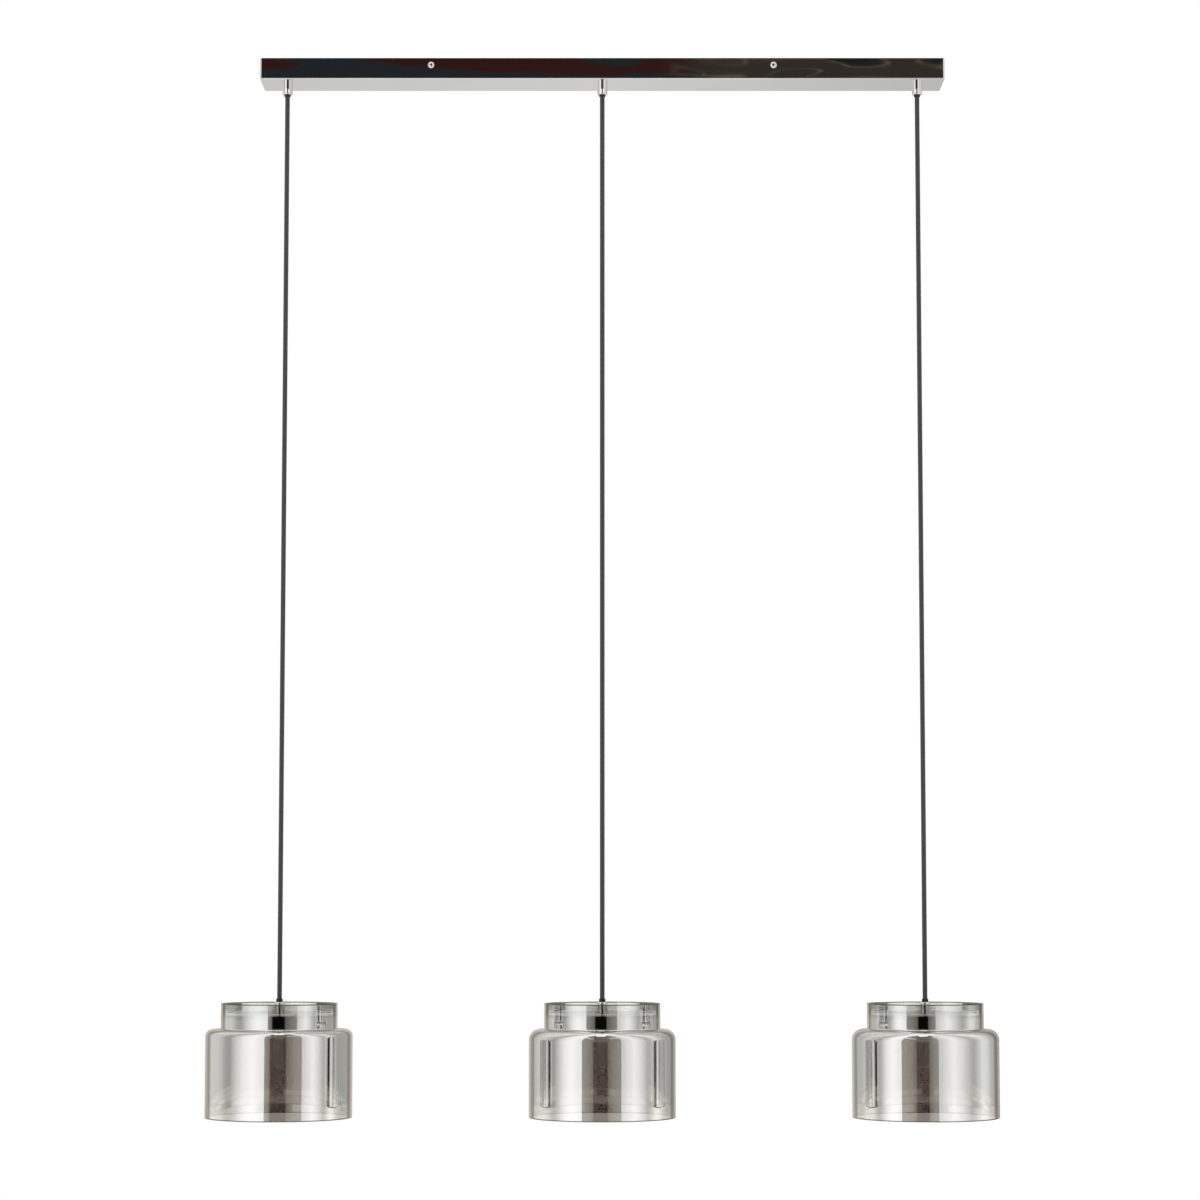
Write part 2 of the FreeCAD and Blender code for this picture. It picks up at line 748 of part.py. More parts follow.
def inner_lead(side, face, outward, pole, turns_aside):
    """A cord's end inside the bar: up through its grip, along the bar and square onto the block's face."""
    x, _ = SIDES[side]
    route = [(x, "0", UPPER_EXIT), (x, "0", LEAD_LEVEL)]
    if turns_aside:
        inward = "-" if outward == "+" else "+"
        route.append(("%s %s Sizes.lead_turn" % (x, inward), "-Sizes.lead_row", LEAD_LEVEL))
        route.append(("%s %s Sizes.lead_turn" % (face, outward), "-Sizes.lead_row", LEAD_LEVEL))
    route.append(("%s %s Sizes.lead_end" % (face, outward), pole, BLOCK_MIDDLE))
    route.append((face, pole, BLOCK_MIDDLE))
    return tube("inner_lead_" + side, "Sizes.cord_radius", route)


def inner_leads():
    return [
        inner_lead("left", BLOCK_LEFT_FACE, "-", "0", turns_aside=True),
        inner_lead("centre", BLOCK_RIGHT_FACE, "+", "0", turns_aside=False),
        inner_lead("right", BLOCK_RIGHT_FACE, "+", "-Sizes.pole_pitch", turns_aside=True),
    ]


# --- Pendants ----------------------------------------------------------------------------------


def domed_cord(label, x, pivot, length):
    """A straight length of cord hanging from a pivot, with a round top centred on it."""
    return turned(label, [
        ("0", "-(%s)" % length),
        ("Sizes.cord_radius", "-(%s)" % length),
        ("Sizes.cord_radius", "0"),
        ("0", "Sizes.cord_radius", "Sizes.cord_radius", "0", "0"),
    ], (x, "0", pivot))


def shade_cap(side, x):
    """The polished cap that stands in the collar of the shade, open below."""
    inner = "(Sizes.cap_radius - Sizes.cap_sheet)"
    corner = "(Sizes.cap_radius - Sizes.cap_corner)"
    bend = "(Sizes.cap_height - Sizes.cap_corner)"
    return turned("shade_cap_" + side, [
        (THREAD_HOLE, "Sizes.cap_height - Sizes.cap_sheet"),
        (corner, "Sizes.cap_height - Sizes.cap_sheet"),
        (inner, bend, "Sizes.cap_corner - Sizes.cap_sheet", corner, bend),
        (inner, "0"),
        ("Sizes.cap_radius", "0"),
        ("Sizes.cap_radius", bend),
        (corner, "Sizes.cap_height", "Sizes.cap_corner", corner, bend),
        (THREAD_HOLE, "Sizes.cap_height"),
    ], (x, "0", CAP_BOTTOM))


def glass_shade(side, x, shoulder):
    """The blown shade: a bell with a flat top, a hole in it and an open collar round it.

    Height 0 is the outer face of the flat top.
    """
    half_wall = "(Sizes.glass_wall / 2)"
    neck_inner = "(Sizes.neck_radius - Sizes.glass_wall)"
    neck_middle = "(Sizes.neck_radius - Sizes.glass_wall / 2)"
    neck_end = "(Sizes.neck_height - Sizes.glass_wall / 2)"
    body_inner = "(Sizes.body_radius - Sizes.glass_wall)"
    body_middle = "(Sizes.body_radius - Sizes.glass_wall / 2)"
    body_end = "(-Sizes.body_height + Sizes.glass_wall / 2)"
    bend = "(Sizes.body_radius - %s)" % shoulder
    foot = "(Sizes.neck_radius + Sizes.collar_foot)"
    recess = "(%s - Sizes.recess_foot)" % neck_inner
    return turned("glass_shade_" + side, [
        ("Sizes.glass_hole_radius", "-Sizes.glass_wall"),
        ("Sizes.glass_hole_radius", "0"),
        (recess, "0"),
        (neck_inner, "Sizes.recess_foot", "Sizes.recess_foot", recess, "Sizes.recess_foot"),
        (neck_inner, neck_end),
        (neck_middle, "Sizes.neck_height", half_wall, neck_middle, neck_end),
        ("Sizes.neck_radius", neck_end, half_wall, neck_middle, neck_end),
        ("Sizes.neck_radius", "Sizes.collar_foot"),
        (foot, "0", "Sizes.collar_foot", foot, "Sizes.collar_foot"),
        (bend, "0"),
        ("Sizes.body_radius", "-" + shoulder, shoulder, bend, "-" + shoulder),
        ("Sizes.body_radius", body_end),
        (body_middle, "-Sizes.body_height", half_wall, body_middle, body_end),
        (body_inner, body_end, half_wall, body_middle, body_end),
        (body_inner, "-" + shoulder),
        (bend, "-Sizes.glass_wall", shoulder + " - Sizes.glass_wall", bend, "-" + shoulder),
    ], (x, "0", GLASS_TOP))


def cap_gasket(side, x):
    """The soft flat ring between the cap's edge and the glass."""
    outer = "(Sizes.neck_radius - Sizes.glass_wall - Sizes.recess_foot - Sizes.cover_gap)"
    inner = outer + " - Sizes.gasket_width"
    return ring("cap_gasket_" + side, outer, inner, "Sizes.gasket_thickness", (x, "0", GLASS_TOP))


def cap_fasteners(side, x):
    """The washer and lock nut inside the cap, on the lower grip's stub."""
    at = (x, "0", "%s - Sizes.washer_thickness" % WASHER_TOP)
    washer = ring("cap_washer_" + side, "Sizes.washer_radius", THREAD_HOLE, "Sizes.washer_thickness", at)
    nut = hex_nut("cap_nut_" + side, (x, "0", HOLDER_TOP))
    return group("cap_fasteners_" + side, [washer, nut])


def lampholder(side, x):
    """The two-pin lampholder: screwed on the grip's stub above, with a threaded skirt through the glass."""
    bottom = "(-(%s - %s) - Sizes.holder_reach)" % (HOLDER_TOP, GLASS_TOP)
    web_top = "(-(%s - %s) + Sizes.web_top)" % (HOLDER_TOP, GLASS_TOP)
    web_bottom = "(-(%s - %s) - Sizes.web_bottom)" % (HOLDER_TOP, GLASS_TOP)
    body = turned("lampholder_" + side, [
        (THREAD_HOLE, "0"),
        ("Sizes.holder_boss_radius", "0"),
        ("Sizes.holder_boss_radius", "-Sizes.holder_boss_height"),
        ("Sizes.holder_radius", "-Sizes.holder_boss_height"),
        ("Sizes.holder_radius", bottom),
        ("Sizes.lamp_seat_radius", bottom),
        ("Sizes.lamp_seat_radius", web_bottom),
        ("0", web_bottom),
        ("0", web_top),
        ("Sizes.wire_space_radius", web_top),
        ("Sizes.wire_space_radius", "-Sizes.holder_thread_depth"),
        (THREAD_HOLE, "-Sizes.holder_thread_depth"),
    ], (x, "0", HOLDER_TOP))
    pin_holes = sketch_on(body, "XY_Plane", "pin_holes_" + side)
    circles(
        pin_holes,
        [("-Sizes.lamp_pin_spacing / 2", "0"), ("Sizes.lamp_pin_spacing / 2", "0")],
        "Sizes.lamp_pin_radius + Sizes.pin_gap",
    )
    pocket(body, pin_holes, "pin_pocket_" + side, through_both=True)
    return body


def shade_ring(side, x):
    """The ring nut that draws the cap and the glass together from below."""
    washer_bottom = "%s - Sizes.glass_wall - Sizes.ring_washer_thickness" % GLASS_TOP
    washer = ring(
        "shade_washer_" + side,
        "Sizes.ring_washer_radius",
        "Sizes.holder_radius + Sizes.cover_gap",
        "Sizes.ring_washer_thickness",
        (x, "0", washer_bottom),
    )
    nut = ring(
        "shade_ring_" + side,
        "Sizes.ring_radius",
        "Sizes.holder_radius + Sizes.thread_gap",
        "Sizes.ring_height",
        (x, "0", washer_bottom + " - Sizes.ring_height"),
    )
    return washer, nut


def capsule_lamp(side, x):
    """The small two-pin capsule lamp, pushed up into the lampholder."""
    straight = "(-(Sizes.lamp_length - Sizes.lamp_radius))"
    seat = "%s - Sizes.web_bottom" % GLASS_TOP
    envelope = turned("lamp_envelope_" + side, [
        ("0", "0"),
        ("0", "-Sizes.lamp_length"),
        ("Sizes.lamp_radius", straight, "Sizes.lamp_radius", "0", straight),
        ("Sizes.lamp_radius", "0"),
    ], (x, "0", seat))
    pins = [
        cylinder(
            "lamp_pin_%s_%s" % (end, side),
            "Sizes.lamp_pin_radius",
            "Sizes.lamp_pin_length",
            ("%s %s Sizes.lamp_pin_spacing / 2" % (x, sign), "0", seat),
        )
        for end, sign in (("left", "-"), ("right", "+"))
    ]
    return fused("capsule_lamp_" + side, [envelope] + pins)


def pendant(side):
    """Everything that hangs below one ceiling grip."""
    x, shoulder = SIDES[side]
    visible = "(%s - %s - Sizes.joint_gap)" % (BEND_POINT, LOWER_EXIT)
    washer, nut = shade_ring(side, x)
    return [
        domed_cord(
            "cord_bend_" + side, x, SWING_POINT, "Sizes.bend_length - Sizes.cord_radius - Sizes.joint_gap"),
        domed_cord("pendant_cord_" + side, x, BEND_POINT, visible),
        grip("lower_grip_" + side, (x, "0", CAP_TOP), UPSIDE_DOWN, LOWER_STUB),
        collet("lower_collet_" + side, (x, "0", CAP_TOP), UPSIDE_DOWN, "Sizes.lower_nose"),
        cylinder(
            "cord_tail_" + side,
            "Sizes.cord_radius",
            "%s - %s - Sizes.tail_end" % (LOWER_EXIT, GLASS_TOP),
            (x, "0", GLASS_TOP + " + Sizes.tail_end"),
        ),
        shade_cap(side, x),
        cap_fasteners(side, x),
        cap_gasket(side, x),
        glass_shade(side, x, shoulder),
        lampholder(side, x),
        washer,
        nut,
        capsule_lamp(side, x),
    ]


def build():
    nodes = [canopy_cover(), mounting_bracket(), cover_screws()]
    nodes += [terminal_block(), terminal_clamps(), terminal_screws(), block_screws()]
    nodes += [earth_screw(), earth_lead()]
    nodes += grip_fasteners()
    nodes += inner_leads()
    for side, (x, _) in SIDES.items():
        nodes.append(grip("ceiling_grip_" + side, (x, "0", UNDERSIDE), UP, UPPER_STUB))
        nodes.append(collet("ceiling_collet_" + side, (x, "0", UNDERSIDE), UP, "Sizes.upper_nose"))
        nodes += pendant(side)
    return nodes


def check_and_export(nodes):
    doc.recompute()
    for thing in doc.Objects:
        if "Invalid" in thing.State or "Error" in thing.State:
            raise RuntimeError("%s failed: %s" % (thing.Label, thing.State))
    os.makedirs("parts", exist_ok=True)
    for node in nodes:
        shape = node.Shape
        if shape.isNull() or not shape.isValid() or not shape.Solids:
            raise RuntimeError("%s has no sound shape" % node.Label)
        shape.exportStep("parts/%s.step" % node.Label)
        print("%-24s %d solid(s), %.1f mm3" % (node.Label, len(shape.Solids), shape.Volume))


check_and_export(build())
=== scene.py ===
import json
import math

import bpy
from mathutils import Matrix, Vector


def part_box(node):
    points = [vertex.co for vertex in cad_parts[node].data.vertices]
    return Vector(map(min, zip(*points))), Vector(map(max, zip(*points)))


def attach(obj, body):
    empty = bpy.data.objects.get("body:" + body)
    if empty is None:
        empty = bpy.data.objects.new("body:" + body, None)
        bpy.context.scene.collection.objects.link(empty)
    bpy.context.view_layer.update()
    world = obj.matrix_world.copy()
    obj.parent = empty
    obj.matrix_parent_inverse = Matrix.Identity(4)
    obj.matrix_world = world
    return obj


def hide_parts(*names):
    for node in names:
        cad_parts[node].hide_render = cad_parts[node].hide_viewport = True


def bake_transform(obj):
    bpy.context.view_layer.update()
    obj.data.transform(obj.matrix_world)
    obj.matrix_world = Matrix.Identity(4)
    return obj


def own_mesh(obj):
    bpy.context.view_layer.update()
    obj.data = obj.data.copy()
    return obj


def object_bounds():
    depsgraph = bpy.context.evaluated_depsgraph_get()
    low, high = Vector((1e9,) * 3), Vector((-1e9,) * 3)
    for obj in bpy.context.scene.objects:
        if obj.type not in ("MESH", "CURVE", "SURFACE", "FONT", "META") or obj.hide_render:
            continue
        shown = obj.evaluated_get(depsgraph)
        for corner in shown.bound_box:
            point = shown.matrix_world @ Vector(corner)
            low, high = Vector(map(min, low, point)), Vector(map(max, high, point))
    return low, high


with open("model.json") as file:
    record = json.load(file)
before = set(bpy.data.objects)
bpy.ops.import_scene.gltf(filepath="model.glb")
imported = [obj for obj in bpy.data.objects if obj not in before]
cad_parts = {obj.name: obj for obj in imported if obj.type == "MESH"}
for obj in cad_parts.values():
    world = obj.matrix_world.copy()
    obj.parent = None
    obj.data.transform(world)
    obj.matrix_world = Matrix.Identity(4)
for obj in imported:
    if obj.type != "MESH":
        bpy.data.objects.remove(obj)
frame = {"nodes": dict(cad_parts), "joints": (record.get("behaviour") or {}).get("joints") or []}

cad_low, cad_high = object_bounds()

SIDES = ("left", "centre", "right")
TURN = 2 * math.pi


def middle(node):
    """The middle of a CAD node's box."""
    low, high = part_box(node)
    return (Vector(low) + Vector(high)) / 2


def top(node):
    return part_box(node)[1][2]


def bottom(node):
    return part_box(node)[0][2]


# ---------------------------------------------------------------- camera

CAMERA_PLACE = (0, -3.678, -0.9896)
CAMERA_PITCH = math.radians(5.102)
CAMERA_LENS = 95.63
CAMERA_SENSOR = 36
CAMERA_SHIFT = (-0.00189, 0.02)


def add_camera():
    """The photograph's view: from the front, a little above the shades, tilted up slightly."""
    data = bpy.data.cameras.new("camera")
    data.sensor_width = CAMERA_SENSOR
    data.lens = CAMERA_LENS
    data.shift_x, data.shift_y = CAMERA_SHIFT
    camera = bpy.data.objects.new("camera", data)
    camera.location = CAMERA_PLACE
    camera.rotation_euler = (math.pi / 2 + CAMERA_PITCH, 0, 0)
    bpy.context.scene.collection.objects.link(camera)
    bpy.context.scene.camera = camera


# ---------------------------------------------------------------- material building blocks


def node(tree, kind, inputs=None, **settings):
    """A shader node. inputs maps socket names or numbers to a value or to the socket that feeds it."""
    made = tree.nodes.new("ShaderNode" + kind)
    for name, setting in settings.items():
        setattr(made, name, setting)
    for name, given in (inputs or {}).items():
        socket = made.inputs[name]
        if isinstance(given, bpy.types.NodeSocket):
            tree.links.new(given, socket)
        else:
            socket.default_value = given
    return made


def math_node(tree, operation, first, second=0.0):
    return node(tree, "Math", {0: first, 1: second}, operation=operation).outputs[0]


def blended(tree, share, first, second):
    """A colour that goes from first to second with share."""
    mix = node(tree, "Mix", {0: share, 6: first, 7: second}, data_type="RGBA")
    return mix.outputs[2]


def ranged(tree, given, low, high, to_low, to_high):
    """given, moved from one range to another and held inside it."""
    inputs = {"Value": given, "From Min": low, "From Max": high, "To Min": to_low, "To Max": to_high}
    return node(tree, "MapRange", inputs).outputs[0]


def spread(tree, given, to_low, to_high):
    """Noise, most of which lies between 0.3 and 0.7, moved to another range and held inside it."""
    return ranged(tree, given, 0.3, 0.7, to_low, to_high)


def noise(tree, place, scale, detail=2.0, stretch=(1, 1, 1)):
    """Noise from 0 to 1, the same at each run, over the object's own coordinates in metres."""
    moved = node(tree, "Mapping", {"Vector": place, "Scale": stretch}).outputs[0]
    return node(tree, "TexNoise", {"Vector": moved, "Scale": scale, "Detail": detail}).outputs["Fac"]


def bump(tree, height, depth, normal=None):
    """A normal for a relief that is depth metres deep."""
    inputs = {"Height": height, "Distance": depth, "Strength": 1.0}
    if normal is not None:
        inputs["Normal"] = normal
    return node(tree, "Bump", inputs).outputs[0]


def new_tree(name):
    """A new material, its empty node tree and its output node."""
    material = bpy.data.materials.new(name)
    material.use_nodes = True
    tree = material.node_tree
    tree.nodes.clear()
    return material, tree, node(tree, "OutputMaterial")


def coloured(colour):
    return (*colour, 1.0)


def grey(tone):
    return coloured((tone, tone, tone))


def surface(name, build, **fixed):
    """A material of one Principled shader, from its fixed numbers and what build(tree, place) gives."""
    material, tree, output = new_tree(name)
    place = node(tree, "TexCoord").outputs["Object"]
    inputs = {key.replace("_", " "): value for key, value in fixed.items()}
    inputs.update(build(tree, place))
    shader = node(tree, "BsdfPrincipled", inputs)
    tree.links.new(shader.outputs[0], output.inputs["Surface"])
    return material


# ---------------------------------------------------------------- materials


def chrome():
    """Mirror-polished plate: faint waves of the sheet, hair scratches and a breath of haze."""
    def build(tree, place):
        haze = noise(tree, place, 9, 4)
        scratches = noise(tree, place, 320, 3, (0.06, 1, 1))
        waves = noise(tree, place, 14, 1)
        cloud = spread(tree, haze, 0.0, 1.0)
        fine = ranged(tree, scratches, 0.35, 0.75, 0.0, 0.012)
        rough = math_node(tree, "ADD", ranged(tree, cloud, 0, 1, 0.008, 0.02), fine)
        colour = blended(tree, cloud, grey(0.85), coloured((0.89, 0.89, 0.895)))
        relief = bump(tree, scratches, 0.0000002, bump(tree, waves, 0.00001))
        return {"Base Color": colour, "Roughness": rough, "Normal": relief}
    return surface("polished_chrome", build, Metallic=1.0)


def black_plastic():
    """Moulded nylon: satin black with a fine spark-eroded grain and lighter rubbed spots."""
    def build(tree, place):
        grain = noise(tree, place, 2600, 3)
        wear = ranged(tree, noise(tree, place, 160, 4), 0.45, 0.75, 0, 1)
        colour = blended(tree, wear, coloured((0.010, 0.010, 0.011)), coloured((0.024, 0.023, 0.023)))
        rough = ranged(tree, wear, 0, 1, 0.42, 0.3)
        return {"Base Color": colour, "Roughness": rough, "Normal": bump(tree, grain, 0.00002)}
    return surface("black_plastic", build)


def zinc_steel():
    """Bright zinc plate on pressed steel: small crystals, a grain from rolling and a faint blue cast."""
    def build(tree, place):
        crystals = node(tree, "TexVoronoi", {"Vector": place, "Scale": 420.0}).outputs["Color"]
        shade = node(tree, "SeparateColor", {0: crystals}).outputs[0]
        rolled = noise(tree, place, 500, 3, (0.03, 1, 1))
        colour = blended(tree, shade, coloured((0.47, 0.48, 0.50)), coloured((0.60, 0.61, 0.62)))
        rough = ranged(tree, shade, 0, 1, 0.26, 0.4)
        rough = math_node(tree, "ADD", rough, spread(tree, rolled, 0, 0.08))
        return {"Base Color": colour, "Roughness": rough, "Normal": bump(tree, rolled, 0.00001)}
    return surface("zinc_steel", build, Metallic=1.0)


def brass():
    """Turned brass: fine tool marks and darker, warmer spots of tarnish."""
    def build(tree, place):
        tarnish = ranged(tree, noise(tree, place, 300, 5), 0.4, 0.7, 0, 1)
        marks = noise(tree, place, 2200, 1, (0.1, 0.1, 1))
        colour = blended(tree, tarnish, coloured((0.80, 0.58, 0.26)), coloured((0.52, 0.34, 0.14)))
        rough = ranged(tree, tarnish, 0, 1, 0.2, 0.42)
        return {"Base Color": colour, "Roughness": rough, "Normal": bump(tree, marks, 0.00001)}
    return surface("brass", build, Metallic=1.0)


def white_plastic():
    """Moulded polyamide: warm white, with flow shading, a soft gloss and a fine grain."""
    def build(tree, place):
        flow = noise(tree, place, 60, 3)
        colour = blended(tree, flow, coloured((0.70, 0.69, 0.65)), coloured((0.80, 0.79, 0.76)))
        grain = noise(tree, place, 1800, 2)
        return {
            "Base Color": colour,
            "Roughness": spread(tree, flow, 0.34, 0.46),
            "Normal": bump(tree, grain, 0.00001),
        }
    return surface("white_plastic", build, Subsurface_Weight=0.1, Subsurface_Scale=0.002)


def ceramic():
    """Unglazed steatite: off-white, with a fine sandy grain and grey specks."""
    def build(tree, place):
        specks = ranged(tree, noise(tree, place, 900, 2), 0.62, 0.7, 0, 1)
        colour = blended(tree, specks, coloured((0.74, 0.72, 0.67)), coloured((0.55, 0.53, 0.49)))
        grain = noise(tree, place, 1500, 4)
        rough = spread(tree, grain, 0.45, 0.6)
        return {"Base Color": colour, "Roughness": rough, "Normal": bump(tree, grain, 0.00003)}
    return surface("holder_ceramic", build)


def silicone():
    """Clear silicone: milky and slightly dusty."""
    def build(tree, place):
        dust = ranged(tree, noise(tree, place, 700, 4), 0.4, 0.75, 0, 1)
        colour = blended(tree, dust, coloured((0.78, 0.78, 0.75)), coloured((0.62, 0.61, 0.58)))
        return {"Base Color": colour, "Roughness": ranged(tree, dust, 0, 1, 0.28, 0.55)}
    return surface("clear_rubber", build, Transmission_Weight=0.5, IOR=1.41)


def earth_insulation():
    """Green lead with a yellow stripe that winds round it."""
    def build(tree, place):
        bands = node(tree, "TexWave", {"Vector": place, "Scale": 75.0}, bands_direction="DIAGONAL")
        stripe = ranged(tree, bands.outputs["Fac"], 0.62, 0.68, 0, 1)
        colour = blended(tree, stripe, coloured((0.02, 0.22, 0.05)), coloured((0.80, 0.62, 0.03)))
        skin = noise(tree, place, 1200, 2)
        rough = spread(tree, skin, 0.32, 0.45)
        return {"Base Color": colour, "Roughness": rough, "Normal": bump(tree, skin, 0.00001)}
    return surface("earth_insulation", build)


def frosted_glass():
    """The lamp's frosted capsule: milky and translucent while it is off."""
    def build(tree, place):
        etch = noise(tree, place, 2400, 3)
        cloud = noise(tree, place, 120, 2)
        colour = blended(tree, cloud, coloured((0.80, 0.80, 0.78)), coloured((0.88, 0.88, 0.86)))
        return {
            "Base Color": colour,
            "Roughness": spread(tree, etch, 0.3, 0.42),
            "Normal": bump(tree, etch, 0.00001),
        }
    return surface("lamp_glass", build, Transmission_Weight=0.85, IOR=1.5)


# The sleeve's colours in the hollows between strands and on their crowns: the hollows are painted darker as
# shade, the crowns lighter as a painted highlight.
BRAID_DARK = (0.024, 0.024, 0.025)
BRAID_LIGHT = (0.070, 0.069, 0.070)
BRAID_DEPTH = 0.00022


def braid(name, around, along, slant):
    """A braided sleeve. Two families of strands cross, each over and under the other.

    around and along map the piece's coordinates to strands round it and to strands along it.
    """
    material, tree, output = new_tree(name)
    across, down = slant(tree, around, along)
    left_hand = math_node(tree, "ADD", across, down)
    right_hand = math_node(tree, "SUBTRACT", across, down)
    left_count = math_node(tree, "FLOOR", left_hand)
    right_count = math_node(tree, "FLOOR", right_hand)
    parity = math_node(tree, "ADD", left_count, right_count)
    over = math_node(tree, "PINGPONG", parity, 1.0)
    crowns = []
    for turns in (left_hand, right_hand):
        wave = math_node(tree, "SINE", math_node(tree, "MULTIPLY", turns, math.pi))
        crowns.append(math_node(tree, "ABSOLUTE", wave))
    height = node(tree, "Mix", {0: over, 2: crowns[0], 3: crowns[1]}).outputs[0]
    place = node(tree, "TexCoord").outputs["Object"]
    fibres = noise(tree, place, 5200, 2, (1, 1, 0.35))
    fuzz = noise(tree, place, 70, 3)
    # Painted shade and highlight: colour follows the strands' height, lighter on the crowns and darker in the
    # hollows between them, broken up by random fibre noise.
    painted_crown_shade = math_node(tree, "MULTIPLY", height, ranged(tree, fibres, 0.2, 0.8, 0.5, 1.0))
    colour = blended(tree, painted_crown_shade, coloured(BRAID_DARK), coloured(BRAID_LIGHT))
    relief = bump(tree, fibres, 0.00003, bump(tree, height, BRAID_DEPTH))
    shader = node(tree, "BsdfPrincipled", {
        "Base Color": colour,
        "Roughness": spread(tree, fuzz, 0.55, 0.75),
        "Normal": relief,
        "Sheen Weight": 0.5,
        "Sheen Roughness": 0.4,
    })
    tree.links.new(shader.outputs[0], output.inputs["Surface"])
    return material


STRANDS = 10
STRAND_PITCH = 0.0018


def cord_braid():
    """The sleeve of the free cords, whose UV map has turns across and metres along."""
    def slant(tree, around, along):
        axes = node(tree, "SeparateXYZ", {0: node(tree, "TexCoord").outputs["UV"]})
        across = math_node(tree, "MULTIPLY", axes.outputs[0], around)
        return across, math_node(tree, "MULTIPLY", axes.outputs[1], along)
    return braid("cord_braid", STRANDS, 1 / STRAND_PITCH, slant)


def lead_braid():
    """The same sleeve on the cords' hidden ends, laid by the object's own coordinates."""
    def slant(tree, around, along):
        axes = node(tree, "SeparateXYZ", {0: node(tree, "TexCoord").outputs["Object"]})
        sideways = math_node(tree, "ADD", axes.outputs[0], axes.outputs[2])
        across = math_node(tree, "MULTIPLY", sideways, around)
        return across, math_node(tree, "MULTIPLY", axes.outputs[1], along)
    return braid("lead_braid", 1 / STRAND_PITCH, 1 / STRAND_PITCH, slant)


FILM_SHARE = 0.76
RIM_SHARE = 0.42
# How far below the collar's rim the film begins to thin out, and where it is at its thinnest.
FILM_FADE = (0.018, 0.009)
FILM_COLOUR = (0.945, 0.967, 0.967)
SMOKE_TINT = (1.0, 0.845, 0.778)
RIM_TINT = (0.90, 0.895, 0.875)
OUTLINE_FILM = (0.50, 0.465, 0.42)
OUTLINE_TINT = (0.40, 0.32, 0.27)


def mirror_film():
    """The half-mirror film on the smoked glass. It lets a quarter of the light through, more near the rim."""
    material, tree, output = new_tree("smoked_mirror_glass")
    place = node(tree, "TexCoord").outputs["Object"]
    ripples = noise(tree, place, 30, 1, (1, 1, 0.2))
    clouds = noise(tree, place, 40, 3)
    slant = node(tree, "LayerWeight", {"Blend": 0.5}).outputs["Facing"]
    risen = ranged(tree, slant, 0.60, 0.67, 0, 1)
    outline = math_node(tree, "MULTIPLY", risen, ranged(tree, slant, 0.70, 0.80, 1, 0.3))
    mirror = node(tree, "BsdfPrincipled", {
        "Base Color": blended(tree, outline, coloured(FILM_COLOUR), coloured(OUTLINE_FILM)),
        "Metallic": 1.0,
        "Roughness": spread(tree, clouds, 0.012, 0.03),
        "Normal": bump(tree, ripples, 0.00002),
    })
    height = node(tree, "SeparateXYZ", {0: place}).outputs[2]
    begin, thinnest = (top("glass_shade_centre") - depth for depth in FILM_FADE)
    fade = ranged(tree, height, begin, thinnest, 0, 1)
    smoke = blended(tree, fade, coloured(SMOKE_TINT), coloured(RIM_TINT))
    clear = node(tree, "BsdfTransparent", {"Color": blended(tree, outline, smoke, coloured(OUTLINE_TINT))})
    share = ranged(tree, fade, 0, 1, FILM_SHARE, RIM_SHARE)
    mix = node(tree, "MixShader", {0: share, 1: clear.outputs[0], 2: mirror.outputs[0]})
    tree.links.new(mix.outputs[0], output.inputs["Surface"])
    return material


def glass_edge():
    """The melted rims of the glass, seen along its wall: deeper in their smoke and weaker in their gloss."""
    material, tree, output = new_tree("smoked_glass_edge")
    place = node(tree, "TexCoord").outputs["Object"]
    clouds = noise(tree, place, 60, 3)
    gloss = node(tree, "BsdfPrincipled", {
        "Base Color": coloured((0.42, 0.39, 0.36)),
        "Metallic": 1.0,
        "Roughness": spread(tree, clouds, 0.04, 0.12),
    })
    clear = node(tree, "BsdfTransparent", {"Color": coloured((0.36, 0.29, 0.25))})
    mix = node(tree, "MixShader", {0: 0.5, 1: clear.outputs[0], 2: gloss.outputs[0]})
    tree.links.new(mix.outputs[0], output.inputs["Surface"])
    return material


def clear_skin():
    """The bare inner face of the glass: clear, with the gloss of glass."""
    material, tree, output = new_tree("smoked_glass_inside")
    place = node(tree, "TexCoord").outputs["Object"]
    clouds = noise(tree, place, 40, 3)
    gloss = node(tree, "BsdfPrincipled", {
        "Base Color": grey(0.9),
        "Metallic": 1.0,
        "Roughness": spread(tree, clouds, 0.01, 0.03),
    })
    clear = node(tree, "BsdfTransparent", {"Color": coloured((0.99, 0.985, 0.98))})
    share = node(tree, "Fresnel", {"IOR": 1.5}).outputs[0]
    mix = node(tree, "MixShader", {0: share, 1: clear.outputs[0], 2: gloss.outputs[0]})
    tree.links.new(mix.outputs[0], output.inputs["Surface"])
    return material


# ---------------------------------------------------------------- meshes


SHARP = math.radians(40)


def add_mesh(name, corners, faces, materials):
    """A smooth-shaded mesh object whose sharp edges, of more than SHARP, stay sharp."""
    mesh = bpy.data.meshes.new(name)
    mesh.from_pydata(corners, [], faces)
    mesh.shade_smooth()
    mesh.set_sharp_from_angle(angle=SHARP)
    for material in materials:
        mesh.materials.append(material)
    made = bpy.data.objects.new(name, mesh)
    bpy.context.scene.collection.objects.link(made)
    return made


def arc(centre, radius, start, end, steps):
    """Points (radius, height) round a centre, from one angle in degrees to another."""
    points = []
    for step in range(steps + 1):
        angle = math.radians(start + (end - start) * step / steps)
        points.append((centre[0] + radius * math.cos(angle), centre[1] + radius * math.sin(angle)))
    return points


LOOP_SPACING = 0.0004


def held(stretches):
    """One outline and its skins from several stretches. A loop near each end of a long run keeps it flat."""
    outline = []
    skins = []
    for number, (skin, points) in enumerate(stretches):
        following = stretches[(number + 1) % len(stretches)][1][0]
        outline += points
        skins += [skin] * len(points)
        last = Vector(points[-1])
        run = Vector(following) - last
        if run.length > 4 * LOOP_SPACING:
            step = run.normalized() * LOOP_SPACING
            outline += [tuple(last + step), tuple(last + run - step)]
            skins += [skin] * 2
    return outline, skins


